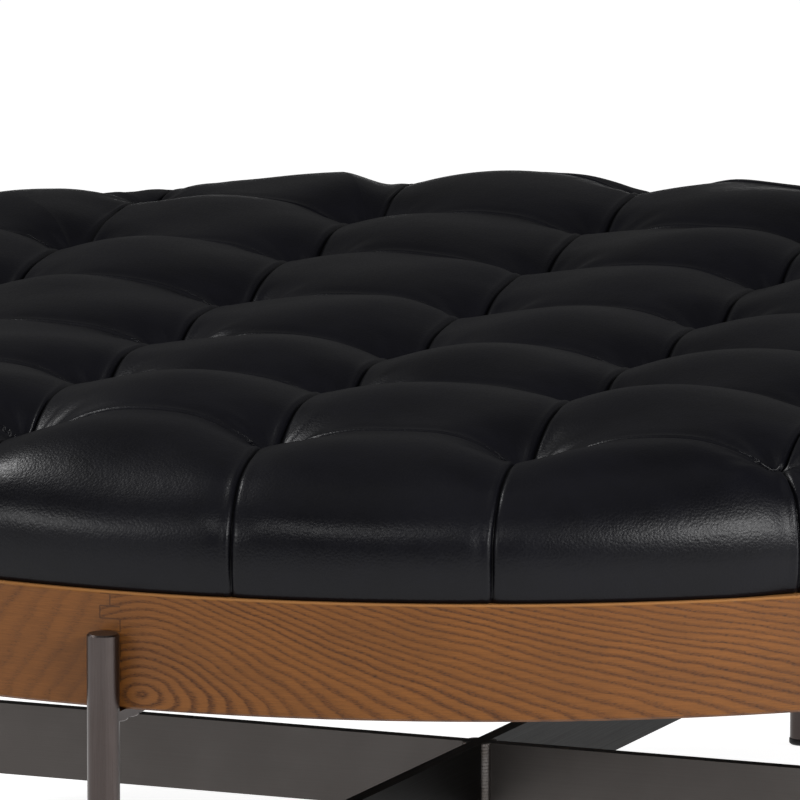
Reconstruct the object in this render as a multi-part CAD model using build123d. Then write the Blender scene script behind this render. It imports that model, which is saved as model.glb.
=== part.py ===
"""Round ottoman coffee table: a tufted leather cushion on a finger-jointed wooden ring.

Four steel rods carry the ring on small tabs, and a crossed pair of flat bars braces the rods.
The origin is on the floor under the table's axis, with +Z up and the rods on the X and Y axes.
"""
from build123d import *
import os
from math import atan2, ceil, cos, degrees, hypot, radians, sin, sqrt

os.makedirs("parts", exist_ok=True)

# Wooden ring
RING_RADIUS = 588.0
RING_HEIGHT = 72.0
RING_THICKNESS = 28.0
RING_BOTTOM = 240.0
RING_EASING = 1.5
SEGMENT_COUNT = 4

# Finger joints between the ring's segments
FINGER_LENGTH = 13.5
FINGER_COUNT = 7
FINGER_LAND = 9.0

# Steel rods and the nylon glides under them
ROD_RADIUS = 10.0
ROD_CLEARANCE = 0.3
ROD_RISE = 48.0
ROD_CHAMFER = 1.0
GLIDE_RADIUS = 10.5
GLIDE_HEIGHT = 5.0

# Tabs that carry the ring
TAB_LENGTH = 40.0
TAB_WIDTH = 20.0
TAB_THICKNESS = 6.0
TAB_CORNER = 3.0

# Crossed brace of flat bar
BRACE_HEIGHT = 48.0
BRACE_THICKNESS = 10.0
BRACE_DROP = 128.0

# Weld beads
CENTRE_WELD = 5.0
ROD_WELD = 3.5
TAB_WELD = 3.0

# Deck and the blocks that carry it
DECK_THICKNESS = 18.0
BLOCK_COUNT = 8
BLOCK_START_ANGLE = 12.0
BLOCK_DEPTH = 40.0
BLOCK_WIDTH = 60.0
BLOCK_HEIGHT = 45.0
BLOCK_CORNER = 8.0

# Tufted cushion
LEATHER = 2.0
SOFT_GAP = 0.3
CUSHION_RISE = 98.0
CUSHION_FOOT_INSET = 4.0
SHOULDER_RADIUS = 49.0
SHOULDER_BANDS = 5
TUFT_PITCH = 160.7
TUFT_DEPTH = 36.0
TUFT_REACH = 46.0
PILLOW_RISE = 13.0
TUFT_ANGLE = 7.5
TUFT_SHIFT_X = -15.0
TUFT_SHIFT_Y = 30.0
TUFT_EDGE_MARGIN = 33.0
PLEAT_GROOVE_DEPTH = 6.0
PLEAT_GROOVE_WIDTH = 9.0
VALLEY_DROP = 8.0
VALLEY_REACH = 50.0

# Foam base, pull tapes and dust cover
FOAM_BASE_INSET = 23.0
TAPE_WIDTH = 10.0
TAPE_THICKNESS = 1.2
TAPE_TAIL = 25.0
TAPE_PLAY = 0.6
DUST_COVER_THICKNESS = 1.0
DUST_COVER_INSET = 8.0

# Every cut runs this far past the face that it opens
OVERRUN = 5.0

# Places worked out from the sizes above
RING_TOP = RING_BOTTOM + RING_HEIGHT
RING_INNER_RADIUS = RING_RADIUS - RING_THICKNESS
SEGMENT_ANGLE = 360 / SEGMENT_COUNT
ROD_CENTRE = RING_RADIUS + ROD_CLEARANCE + ROD_RADIUS
ROD_TOP = RING_BOTTOM + ROD_RISE
BRACE_TOP = RING_BOTTOM - BRACE_DROP
BRACE_BOTTOM = BRACE_TOP - BRACE_HEIGHT
TAB_BOTTOM = RING_BOTTOM - TAB_THICKNESS
TAB_END = ROD_CENTRE - ROD_RADIUS - TAB_LENGTH

CUSHION_BOTTOM = RING_TOP + SOFT_GAP
CUSHION_TOP = CUSHION_BOTTOM + CUSHION_RISE
CUSHION_BULGE_RADIUS = RING_RADIUS
CUSHION_FOOT_RADIUS = CUSHION_BULGE_RADIUS - CUSHION_FOOT_INSET
DECK_BOTTOM = CUSHION_BOTTOM + LEATHER + SOFT_GAP
DECK_TOP = DECK_BOTTOM + DECK_THICKNESS
DECK_RADIUS = CUSHION_BULGE_RADIUS - PLEAT_GROOVE_DEPTH - LEATHER - SOFT_GAP
FOAM_BASE_RADIUS = CUSHION_BULGE_RADIUS - FOAM_BASE_INSET
FOAM_BASE_TOP = CUSHION_TOP - TUFT_DEPTH - VALLEY_DROP - LEATHER - SOFT_GAP
BLOCK_END = RING_INNER_RADIUS - BLOCK_DEPTH
DUST_COVER_RADIUS = BLOCK_END - DUST_COVER_INSET
DUST_COVER_TOP = DECK_BOTTOM - TAPE_THICKNESS - SOFT_GAP
SHOULDER_Z = CUSHION_TOP - SHOULDER_RADIUS
CROWN_RADIUS = (CUSHION_FOOT_RADIUS + CUSHION_BULGE_RADIUS) / 2 - SHOULDER_RADIUS
LATTICE_REACH = ceil(CUSHION_BULGE_RADIUS / TUFT_PITCH) + 1
LATTICE_STEPS = range(-LATTICE_REACH, LATTICE_REACH + 1)

ROD_ANGLES = [quarter * SEGMENT_ANGLE for quarter in range(SEGMENT_COUNT)]


def save(node, shape):
    """Write one node's solids to its STEP file."""
    export_step(shape, "parts/" + node + ".step")


def group(solids):
    """Keep several separate solids together as one node."""
    return Compound(children=list(solids))


def turned(angle, shape):
    """Turn a shape about the table's axis."""
    return Rot(0, 0, angle) * shape


def disc(radius, bottom, top):
    """A plain upright cylinder on the table's axis."""
    return Pos(0, 0, bottom) * Cylinder(radius, top - bottom, align=(Align.CENTER, Align.CENTER, Align.MIN))


def bar(length, width, height, align_x=Align.CENTER):
    """A box that stands on its own origin."""
    return Box(length, width, height, align=(align_x, Align.CENTER, Align.MIN))


def ring_row(bottom, top):
    """One layer of a ring segment: a quarter turn of a rectangle."""
    corners = [
        (RING_INNER_RADIUS, 0, bottom),
        (RING_RADIUS, 0, bottom),
        (RING_RADIUS, 0, top),
        (RING_INNER_RADIUS, 0, top),
    ]
    return revolve(Face(Wire.make_polygon([Vector(*corner) for corner in corners])), Axis.Z, SEGMENT_ANGLE)


def ring_segment():
    """A quarter of the ring, with fingers that interlock with the next segments."""
    finger_height = (RING_HEIGHT - 2 * FINGER_LAND) / FINGER_COUNT
    half_finger = degrees(FINGER_LENGTH / 2 / RING_RADIUS)
    levels = [RING_BOTTOM]
    levels += [RING_BOTTOM + FINGER_LAND + finger * finger_height for finger in range(FINGER_COUNT + 1)]
    levels += [RING_TOP]
    rows = []
    for row, (bottom, top) in enumerate(zip(levels, levels[1:])):
        is_land = row in (0, FINGER_COUNT + 1)
        side = 0 if is_land else (-1 if row % 2 else 1)
        rows.append(turned(side * half_finger, ring_row(bottom, top)))
    segment = rows[0].fuse(*rows[1:]).clean()
    arcs = segment.edges().filter_by(GeomType.CIRCLE).group_by(Axis.Z)
    return chamfer(arcs[0] + arcs[-1], RING_EASING)


def rod():
    """A round bar with a broken top edge."""
    body = disc(ROD_RADIUS, GLIDE_HEIGHT, ROD_TOP)
    body = chamfer(body.edges().group_by(Axis.Z)[-1], ROD_CHAMFER)
    return Pos(ROD_CENTRE, 0, 0) * body


def glide():
    """A nylon pad glued under the rod."""
    return Pos(ROD_CENTRE, 0, 0) * disc(GLIDE_RADIUS, 0, GLIDE_HEIGHT)


def tab():
    """A flat tab from the rod inward under the ring, coped to the rod."""
    length = ROD_CENTRE - TAB_END
    plate = Pos(TAB_END, 0, TAB_BOTTOM) * bar(length, TAB_WIDTH, TAB_THICKNESS, Align.MIN)
    plate = chamfer(plate.edges().filter_by(Axis.Z).group_by(Axis.X)[0], TAB_CORNER)
    return plate - Pos(ROD_CENTRE, 0, 0) * disc(ROD_RADIUS, 0, ROD_TOP)


def block():
    """A hardwood block glued into the ring under the deck, with its inner corners cut back."""
    bottom = DECK_BOTTOM - BLOCK_HEIGHT
    body = Pos(BLOCK_END, 0, bottom) * bar(BLOCK_DEPTH + OVERRUN, BLOCK_WIDTH, BLOCK_HEIGHT, Align.MIN)
    body = chamfer(body.edges().filter_by(Axis.Z).group_by(Axis.X)[0], BLOCK_CORNER)
    return body & disc(RING_INNER_RADIUS, 0, DECK_TOP)


def brace_bar(start, end):
    """A flat bar on edge along +X from one place to another, coped to any rod that it meets."""
    flat = Pos(start, 0, BRACE_BOTTOM) * bar(end - start, BRACE_THICKNESS, BRACE_HEIGHT, Align.MIN)
    for side in (-1, 1):
        flat -= Pos(side * ROD_CENTRE, 0, 0) * disc(ROD_RADIUS, 0, ROD_TOP)
    return flat


def bead(radius, bottom, top, x, y, *neighbours):
    """A weld bead: an upright round laid in a corner, less the pieces that it joins."""
    body = Pos(x, y, 0) * disc(radius, bottom, top)
    for neighbour in neighbours:
        body -= neighbour
    return body


def lattice_point(across, away):
    """Where a tuft lies, counted in pitches from the tuft nearest the table's axis."""
    turn = radians(TUFT_ANGLE)
    x = TUFT_SHIFT_X + TUFT_PITCH * (across * cos(turn) - away * sin(turn))
    y = TUFT_SHIFT_Y + TUFT_PITCH * (across * sin(turn) + away * cos(turn))
    return x, y


def tuft_steps():
    """The lattice steps that are sewn down: all that lie far enough inside the edge."""
    limit = CUSHION_BULGE_RADIUS - TUFT_EDGE_MARGIN
    steps = [(across, away) for across in LATTICE_STEPS for away in LATTICE_STEPS]
    return [step for step in steps if hypot(*lattice_point(*step)) < limit]


def border_pleat(across, away, sewn):
    """The angle at which a tuft's pleat runs off the edge, or None for a tuft inside the field."""
    x, y = lattice_point(across, away)
    best = None
    for step in ((1, 0), (0, 1), (-1, 0), (0, -1)):
        if (across + step[0], away + step[1]) in sewn:
            continue
        next_x, next_y = lattice_point(across + step[0], away + step[1])
        run_x, run_y = (next_x - x) / TUFT_PITCH, (next_y - y) / TUFT_PITCH
        outward = x * run_x + y * run_y
        if best is None or outward > best[0]:
            length = sqrt(outward**2 + CUSHION_BULGE_RADIUS**2 - x**2 - y**2) - outward
            best = (outward, degrees(atan2(y + length * run_y, x + length * run_x)))
    return None if best is None else best[1]


def cushion_envelope():
    """The cushion without its tufts: drawn-in foot, bulged side, round shoulder and flat crown."""
    outline = [(0, CUSHION_BOTTOM), (CUSHION_FOOT_RADIUS, CUSHION_BOTTOM)]
    outline.append((CUSHION_BULGE_RADIUS, (CUSHION_BOTTOM + SHOULDER_Z) / 2))
    for band in range(SHOULDER_BANDS + 1):
        turn = radians(90 * band / SHOULDER_BANDS)
        outline.append((CROWN_RADIUS + SHOULDER_RADIUS * cos(turn), SHOULDER_Z + SHOULDER_RADIUS * sin(turn)))
    outline.append((0, CUSHION_TOP))
    face = Face(Wire.make_polygon([Vector(radius, 0, height) for radius, height in outline]))
    return revolve(face, Axis.Z)


def pillow_rows():
    """Rows of round crowns with pleats between them, along Y across the whole cushion."""
    pleat_z = CUSHION_TOP - PILLOW_RISE
    start = LATTICE_STEPS[0] * TUFT_PITCH
    end = LATTICE_STEPS[-1] * TUFT_PITCH
    with BuildPart() as rows:
        with BuildSketch(Plane.XZ):
            with BuildLine():
                for step in LATTICE_STEPS[:-1]:
                    left = step * TUFT_PITCH
                    right = left + TUFT_PITCH
                    ThreePointArc((left, pleat_z), ((left + right) / 2, CUSHION_TOP), (right, pleat_z))
                Polyline((end, pleat_z), (end, CUSHION_BOTTOM), (start, CUSHION_BOTTOM), (start, pleat_z))
            make_face()
        extrude(amount=end, both=True)
    return rows.part


def tuft_dimple():
    """The hollow at a tuft: four slopes that meet on the pleats and rise to the crown."""
    bottom = CUSHION_TOP - TUFT_DEPTH
    rim_z = CUSHION_TOP + OVERRUN
    rim = TUFT_REACH * (rim_z - bottom) / (TUFT_DEPTH - PILLOW_RISE)
    apex = Vector(0, 0, bottom)
    corners = [Vector(rim, 0, rim_z), Vector(0, rim, rim_z), Vector(-rim, 0, rim_z), Vector(0, -rim, rim_z)]
    rim_sides = zip(corners, corners[1:] + corners[:1])
    slopes = [Face(Wire.make_polygon([apex, start, end])) for start, end in rim_sides]
    return Solid(Shell(slopes + [Face(Wire.make_polygon(corners))]))


def border_groove():
    """A pleat down the side, from the end of its valley to the foot."""
    half_width = PLEAT_GROOVE_WIDTH / 2 * (PLEAT_GROOVE_DEPTH + OVERRUN) / PLEAT_GROOVE_DEPTH
    inner = CUSHION_BULGE_RADIUS - PLEAT_GROOVE_DEPTH
    outer = CUSHION_BULGE_RADIUS + OVERRUN
    corners = [(inner, 0), (outer, half_width), (outer, -half_width)]
    face = Face(Wire.make_polygon([Vector(x, y, CUSHION_BOTTOM) for x, y in corners]))
    return extrude(face, CUSHION_RISE, dir=(0, 0, 1))


def border_valley(step, angle):
    """The valley from a tuft to its border pleat: two slopes that meet on a line out to the side."""
    rim = CUSHION_BULGE_RADIUS - PLEAT_GROOVE_DEPTH
    start = Vector(*lattice_point(*step), CUSHION_TOP - TUFT_DEPTH)
    end = Vector(rim * cos(radians(angle)), rim * sin(radians(angle)), start.Z - VALLEY_DROP)
    run = end - start
    rise = Vector(0, 0, TUFT_DEPTH + 2 * VALLEY_DROP + OVERRUN)
    spread = Vector(-run.Y, run.X, 0).normalized() * (rise.Z * VALLEY_REACH / TUFT_DEPTH)
    face = Face(Wire.make_polygon([start, start + rise + spread, start + rise - spread]))
    return extrude(face, run.length + SHOULDER_RADIUS, dir=run)


def leather_cover():
    """The tufted leather with its soft filling, turned under the deck on top of the ring."""
    rows = pillow_rows()
    lattice = Pos(TUFT_SHIFT_X, TUFT_SHIFT_Y, 0) * Rot(0, 0, TUFT_ANGLE)
    form = cushion_envelope() & (lattice * (rows & Rot(0, 0, 90) * rows))
    sewn = tuft_steps()
    dimple = Rot(0, 0, TUFT_ANGLE) * tuft_dimple()
    cuts = [Pos(*lattice_point(*step), 0) * dimple for step in sewn]
    for step in sewn:
        angle = border_pleat(*step, sewn)
        if angle is not None:
            cuts += [turned(angle, border_groove()), border_valley(step, angle)]
    cuts.append(disc(RING_INNER_RADIUS, CUSHION_BOTTOM - OVERRUN, DECK_BOTTOM))
    cuts.append(disc(DECK_RADIUS + SOFT_GAP, CUSHION_BOTTOM + LEATHER, DECK_TOP + SOFT_GAP))
    cuts.append(disc(FOAM_BASE_RADIUS + SOFT_GAP, DECK_BOTTOM, FOAM_BASE_TOP + SOFT_GAP))
    return form.cut(*cuts)


def at_tuft(step, shape):
    """Put a shape at a tuft, facing away from the table's axis."""
    x, y = lattice_point(*step)
    return Pos(x, y, 0) * Rot(0, 0, degrees(atan2(y, x))) * shape


def tape_slots(bottom, top):
    """The slots that the pull tapes run through."""
    width = TAPE_WIDTH + 2 * TAPE_PLAY
    thickness = TAPE_THICKNESS + 2 * TAPE_PLAY
    slot = Pos(0, 0, bottom) * bar(thickness, width, top - bottom)
    return [at_tuft(step, slot) for step in tuft_steps()]


def foam_base():
    """The firm foam disc on the deck."""
    foam = disc(FOAM_BASE_RADIUS, DECK_TOP, FOAM_BASE_TOP)
    return foam.cut(*tape_slots(DECK_TOP - OVERRUN, FOAM_BASE_TOP + OVERRUN))


def pull_tapes():
    """One tape for each tuft: up through the deck and the foam, with its tail folded under the deck."""
    top = FOAM_BASE_TOP + SOFT_GAP
    tail_bottom = DECK_BOTTOM - TAPE_THICKNESS
    riser = Pos(0, 0, tail_bottom) * bar(TAPE_THICKNESS, TAPE_WIDTH, top - tail_bottom)
    tail = Pos(TAPE_THICKNESS / 2, 0, tail_bottom) * bar(TAPE_TAIL, TAPE_WIDTH, TAPE_THICKNESS, Align.MAX)
    tape = riser + tail
    return [at_tuft(step, tape) for step in tuft_steps()]


# Blocks glued inside the ring, under the deck
for number in range(BLOCK_COUNT):
    angle = BLOCK_START_ANGLE + number * 360 / BLOCK_COUNT
    save("deck_block_" + str(number + 1), turned(angle, block()))

# Ring segments, each starting at a rod
for number, angle in enumerate(ROD_ANGLES):
    save("ring_segment_" + str(number + 1), turned(angle, ring_segment()))

# Rods, tabs and glides
for number, angle in enumerate(ROD_ANGLES):
    save("leg_rod_" + str(number + 1), turned(angle, rod()))
    save("mounting_tab_" + str(number + 1), turned(angle, tab()))

save("foot_glides", group(turned(angle, glide()) for angle in ROD_ANGLES))

# Crossed brace: one bar runs through along Y, two half bars meet it along X
through_bar = turned(SEGMENT_ANGLE, brace_bar(-ROD_CENTRE, ROD_CENTRE))
half_bar = brace_bar(BRACE_THICKNESS / 2, ROD_CENTRE)
save("brace_through_bar", through_bar)
save("brace_half_bar_1", half_bar)
save("brace_half_bar_2", turned(2 * SEGMENT_ANGLE, half_bar))

# Welds in the cross's corners, between bars and rods, and between tabs and rods
half_thickness = BRACE_THICKNESS / 2
centre_weld = bead(
    CENTRE_WELD, BRACE_BOTTOM, BRACE_TOP, half_thickness, half_thickness, through_bar, half_bar
)
save("centre_welds", group(turned(angle, centre_weld) for angle in ROD_ANGLES))

rod_bar_x = ROD_CENTRE - sqrt(ROD_RADIUS**2 - half_thickness**2)
rod_tab_x = ROD_CENTRE - ROD_RADIUS
rod_welds = []
for side in (-1, 1):
    corner = (rod_bar_x, side * half_thickness)
    rod_welds.append(bead(ROD_WELD, BRACE_BOTTOM, BRACE_TOP, *corner, half_bar, rod()))
under_tab = Pos(rod_tab_x, 0, TAB_BOTTOM) * (Rot(90, 0, 0) * Cylinder(TAB_WELD, TAB_WIDTH / 2))
rod_welds.append(under_tab - tab() - rod())
save("rod_welds", group(turned(angle, weld) for angle in ROD_ANGLES for weld in rod_welds))

# Upholstered seat
deck = disc(DECK_RADIUS, DECK_BOTTOM, DECK_TOP)
save("deck_panel", deck.cut(*tape_slots(DECK_BOTTOM - OVERRUN, DECK_TOP + OVERRUN)))
save("foam_base", foam_base())
save("leather_cover", leather_cover())
save("pull_tapes", group(pull_tapes()))
save("dust_cover", disc(DUST_COVER_RADIUS, DUST_COVER_TOP - DUST_COVER_THICKNESS, DUST_COVER_TOP))
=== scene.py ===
"""Looks for the round ottoman coffee table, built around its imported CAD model.

The tufted leather, the dust cover with its staples, the glides, the centre welds and the screws
are built here. Everything else is a CAD node with a procedural material. Blender works in metres.
The pieces are worked out in millimetres, as in the part's source, and scaled when meshed.
"""
from math import atan2, cos, hypot, pi, radians, sin

import bmesh
import bpy
import numpy as np
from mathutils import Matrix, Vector


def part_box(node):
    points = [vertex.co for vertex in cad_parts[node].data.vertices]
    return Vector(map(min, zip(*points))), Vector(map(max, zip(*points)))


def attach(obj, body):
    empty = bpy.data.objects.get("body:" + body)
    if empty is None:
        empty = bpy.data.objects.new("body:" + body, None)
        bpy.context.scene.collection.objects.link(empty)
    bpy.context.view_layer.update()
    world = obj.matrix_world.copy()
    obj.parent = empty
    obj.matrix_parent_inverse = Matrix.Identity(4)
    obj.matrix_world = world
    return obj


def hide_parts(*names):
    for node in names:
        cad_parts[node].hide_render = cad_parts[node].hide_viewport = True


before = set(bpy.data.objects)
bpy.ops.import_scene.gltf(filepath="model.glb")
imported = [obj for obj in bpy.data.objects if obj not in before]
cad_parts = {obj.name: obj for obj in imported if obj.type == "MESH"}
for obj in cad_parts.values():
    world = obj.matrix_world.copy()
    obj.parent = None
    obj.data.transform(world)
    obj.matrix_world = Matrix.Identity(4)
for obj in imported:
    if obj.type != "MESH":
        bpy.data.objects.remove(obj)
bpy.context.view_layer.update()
MM = 0.001


def extent(box):
    """A box's bottom, top and greatest x, in millimetres."""
    return box[0].z / MM, box[1].z / MM, box[1].x / MM


# Sizes read from the frame, in millimetres
CUSHION_BOTTOM, CUSHION_TOP, BULGE_RADIUS = extent(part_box("leather_cover"))
RING_BOTTOM, RING_TOP, RING_RADIUS = extent(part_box("ring_segment_1"))
RING_HEIGHT = RING_TOP - RING_BOTTOM
FOAM_TOP, FOAM_RADIUS = extent(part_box("foam_base"))[1:]
DECK_BOTTOM, DECK_TOP, DECK_RADIUS = extent(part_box("deck_panel"))
DUST_COVER_BOTTOM, _, DUST_COVER_RADIUS = extent(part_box("dust_cover"))
BLOCK_BOTTOM = extent(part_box("deck_block_1"))[0]
BRACE_BOTTOM, BRACE_TOP, BRACE_HALF = extent(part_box("brace_through_bar"))
ROD_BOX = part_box("leg_rod_1")
ROD_CENTRE = (ROD_BOX[0].x + ROD_BOX[1].x) / 2 / MM
TAB_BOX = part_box("mounting_tab_1")
TAB_BOTTOM, TAB_END = TAB_BOX[0].z / MM, TAB_BOX[0].x / MM
_, GLIDE_TOP, GLIDE_REACH = extent(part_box("foot_glides"))
GLIDE_RADIUS = GLIDE_REACH - ROD_CENTRE

# Tuft lattice: a square grid whose rows run across the table
TUFT_PITCH = 160.7
TUFT_ANGLE = radians(7.5)
TUFT_SHIFT = np.array([-15.0, 30.0])
TUFT_EDGE_MARGIN = 33.0
ACROSS = TUFT_PITCH * np.array([cos(TUFT_ANGLE), sin(TUFT_ANGLE)])
AWAY = TUFT_PITCH * np.array([-sin(TUFT_ANGLE), cos(TUFT_ANGLE)])

# Envelope of the cushion
SHOULDER_REACH = 51.0
BULGE_HEIGHT = 24.5
BULGE_LEVEL = CUSHION_BOTTOM + BULGE_HEIGHT
FOOT_INSET = 4.0
FLANGE_INNER_RADIUS = 560.0
LEATHER_THICKNESS = 2.0

# Pillows between the tufts
PLEAT_DEPTH = 11.7
TUFT_EXTRA_DEPTH = 15.4
TUFT_CONE = 60.0
LEAST_FILLING = 2.0

# The border's round front: how full it is, and the valleys that run down it from the tufts
BORDER_FULLNESS = {41.0: 1.75, 113.0: 2.3, 130.0: 2.3, 210.0: 3.4}
ROOMY_FROM, ROOMY_TO = 130.0, 210.0
# Degrees that a border pleat leans off the lattice's direction, where the photograph shows it
PLEAT_LEAN = {(1, 1): 1.1, (2, 1): 0.95, (3, 1): 2.55}
VALLEY_END = 0.87
VALLEY_LEAST = 0.16
VALLEY_SIDE_WIDTH = 15.0
LIP_BLEND = 12.0

# Where the photographed cushion is fuller or flatter than its pattern: lattice place, millimetres
FULLNESS = {
    (0.5, 1): 3.5, (1.5, 1): -4.5, (2.5, 1): -2.5, (0, 1): -4, (2, 1): -3,
    (1, 3): -4, (2, 3): -4, (-1, 4): 5, (-1, 5): 2, (-1, 6): 8, (0, 5): 3,
    (-0.9, 6.8): 18, (-1.7, 5.9): 10, (-2, 5): 9,
}
FULLNESS_SPREAD = 65.0
FULLER_SIDE = radians(112.88)
FULLER_BY = 10.0
RIM_RISE = 6.0
WAVE_HEIGHT = 1.5
WAVE_LENGTH = 130.0
WAVE_COUNT = 7
PILLOW_SKEW = 0.3
PILLOW_VARIETY = 2.2

# Wood of the ring: growth rings and the fingers at its joints
RING_STRETCH = 60.0
RING_CORE = 40.0
RING_CROWDING = 0.018
RING_DROP = 95.0
RING_DROP_LENGTH = 250.0
RING_SLANT = 0.25
FINGER_LENGTH = 13.5
FINGER_COUNT = 7
FINGER_LAND = 9.0
FINGER_HEIGHT = (RING_HEIGHT - 2 * FINGER_LAND) / FINGER_COUNT
PLY_THICKNESS = 1.5
BLOCK_RING_WIDTH = 3.2
TAPE_THREADS = 5200.0

# Finish of the leather's mesh
CELL_STEPS = 24
BORDER_STEPS = 46
FOOT_STEPS = 9
STEP_POWER = 1.75
JOIN_DISTANCE = 0.1
CREASE_WIDTH = 1.1
CREASE_DEPTH = 3.0
SEAM_FADE = 25.0
PATH_BLEND = 12.0
LATTICE_FADE = 6.0
FOLD_HEIGHT = 0.55
FOLD_PLACE = 26.0
FOLD_SPREAD = 15.0
FOAM_REACH = 20.0
FOAM_EASE = 1.5


class Shader:
    """A procedural material under construction: nodes that feed one Principled shader."""

    def __init__(self, name, **settings):
        self.material = bpy.data.materials.new(name)
        self.material.use_nodes = True
        self.tree = self.material.node_tree
        self.principled = self.tree.nodes["Principled BSDF"]
        for socket, value in settings.items():
            self.feed(socket.replace("_", " "), value)

    def feed(self, socket, value):
        """Set one of the Principled shader's sockets, or link a node's output to it."""
        self.set(self.principled.inputs[socket], value)

    def set(self, target, value):
        if isinstance(value, bpy.types.NodeSocket):
            self.tree.links.new(value, target)
        else:
            target.default_value = value

    def node(self, kind, sockets=None, **settings):
        made = self.tree.nodes.new("ShaderNode" + kind)
        for name, value in settings.items():
            setattr(made, name, value)
        for socket, value in (sockets or {}).items():
            self.set(made.inputs[socket], value)
        return made

    def math(self, operation, first, second=0.0, third=0.0):
        return self.node("Math", {0: first, 1: second, 2: third}, operation=operation).outputs[0]

    def place(self, scale=(1, 1, 1), turn=(0, 0, 0)):
        """The surface's own coordinates in metres, which are the table's, turned and scaled."""
        where = self.node("TexCoord").outputs["Object"]
        sockets = {"Vector": where, "Rotation": turn, "Scale": scale}
        return self.node("Mapping", sockets).outputs["Vector"]

    def noise(self, where, scale, detail=2.0, roughness=0.5, distortion=0.0):
        sockets = {"Vector": where, "Scale": scale, "Detail": detail, "Roughness": roughness,
                   "Distortion": distortion}
        return self.node("TexNoise", sockets).outputs["Fac"]

    def cells(self, where, scale, smooth=None, randomness=1.0):
        sockets = {"Vector": where, "Scale": scale, "Randomness": randomness}
        feature = "F1"
        if smooth is not None:
            sockets["Smoothness"] = smooth
            feature = "SMOOTH_F1"
        return self.node("TexVoronoi", sockets, feature=feature).outputs["Distance"]

    def steps(self, value, low, high, out_low=0.0, out_high=1.0):
        """Remap a value smoothly between two limits, clamped."""
        sockets = {"Value": value, "From Min": low, "From Max": high, "To Min": out_low, "To Max": out_high}
        return self.node("MapRange", sockets, interpolation_type="SMOOTHSTEP").outputs["Result"]

    def mix(self, factor, first, second, blend="MIX"):
        made = self.node("Mix", {"Factor": factor}, data_type="RGBA", blend_type=blend)
        self.set(made.inputs[6], first)
        self.set(made.inputs[7], second)
        return made.outputs[2]

    def bump(self, height, distance, strength=1.0, under=None):
        sockets = {"Height": height, "Distance": distance, "Strength": strength}
        if under is not None:
            sockets["Normal"] = under
        return self.node("Bump", sockets).outputs["Normal"]

    def streaks(self, where, x, y, z, detail=2.0, roughness=0.5):
        """Noise with its own pace along each axis."""
        paced = self.node("VectorMath", {0: where, 1: (x, y, z)}, operation="MULTIPLY").outputs[0]
        return self.noise(paced, 1.0, detail, roughness)

    def attribute(self, name):
        return self.node("Attribute", attribute_name=name).outputs["Fac"]

    def separate(self, vector):
        return self.node("SeparateXYZ", {0: vector}).outputs

    def total(self, *parts):
        """The sum of some nodes' values or numbers."""
        result = parts[0]
        for part in parts[1:]:
            result = self.math("ADD", result, part)
        return result

    def scaled(self, value, factor, more):
        """A value times a factor, plus more."""
        return self.math("MULTIPLY_ADD", value, factor, more)

    def times(self, first, second):
        return self.math("MULTIPLY", first, second)

    def combine(self, x, y, z):
        return self.node("CombineXYZ", {0: x, 1: y, 2: z}).outputs[0]

    def darken(self, tone, shade):
        """A tone times a grey shade."""
        return self.mix(1.0, tone, self.combine(shade, shade, shade), "MULTIPLY")

    def finish(self, colour, roughness, relief):
        """Feed the sockets that every material sets, and give the material."""
        for socket, value in (("Base Color", colour), ("Roughness", roughness), ("Normal", relief)):
            self.feed(socket, value)
        return self.material

    def upright(self):
        """How far the surface faces up or down, from 0 to 1."""
        normal = self.node("NewGeometry").outputs["Normal"]
        return self.math("ABSOLUTE", self.separate(normal)["Z"])


def srgb(red, green, blue):
    """A colour given as 0 to 255 on screen, as the linear colour that a shader takes."""
    def linear(value):
        value /= 255
        return value / 12.92 if value <= 0.04045 else ((value + 0.055) / 1.055) ** 2.4
    return (linear(red), linear(green), linear(blue), 1.0)


def leather_material():
    """Near-black leather: fine pebbled grain, fine folds that run into the tufts, satin sheen, and shade
    painted along the creases.
    """
    shader = Shader("leather", Specular_IOR_Level=0.15)
    where = shader.place()
    cloud = shader.noise(where, 9.0, 3.0, 0.6)
    fine_cloud = shader.noise(where, 60.0, 3.0, 0.6)
    shade = shader.scaled(fine_cloud, 0.35, shader.times(cloud, 0.65))
    tone = shader.mix(shader.steps(shade, 0.35, 0.65), srgb(9, 9, 13), srgb(13, 13, 18))
    # Painted shade: the tone is darkened along the creases, to 0.45 of it at a crease's middle.
    crease = shader.steps(shader.attribute("crease"), 0.0, 1.0, 1.0, 0.45)
    tone = shader.darken(tone, crease)

    grain = shader.cells(where, 620.0, smooth=0.35)
    pores = shader.noise(where, 1500.0, 1.0)
    rough = shader.steps(cloud, 0.3, 0.7, 0.28, 0.34)
    rough = shader.scaled(shader.steps(grain, 0.2, 0.7), 0.05, rough)

    angle = shader.attribute("tuft_angle")
    distance = shader.attribute("tuft_distance")
    spokes = shader.combine(shader.times(angle, 1.7), shader.times(distance, 0.02), 0.0)
    pull = shader.noise(spokes, 1.0, 2.0, 0.5)
    near = shader.steps(distance, 18.0, 62.0, 1.0, 0.0)
    folds = shader.times(pull, near)
    slack = shader.noise(where, 26.0, 4.0, 0.55)
    relief = shader.bump(folds, 1.4 * MM, 0.8)
    relief = shader.bump(slack, 1.2 * MM, 0.4, relief)
    relief = shader.bump(pores, 0.05 * MM, 0.5, relief)
    relief = shader.bump(grain, 0.11 * MM, 0.8, relief)
    return shader.finish(tone, rough, relief)


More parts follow.
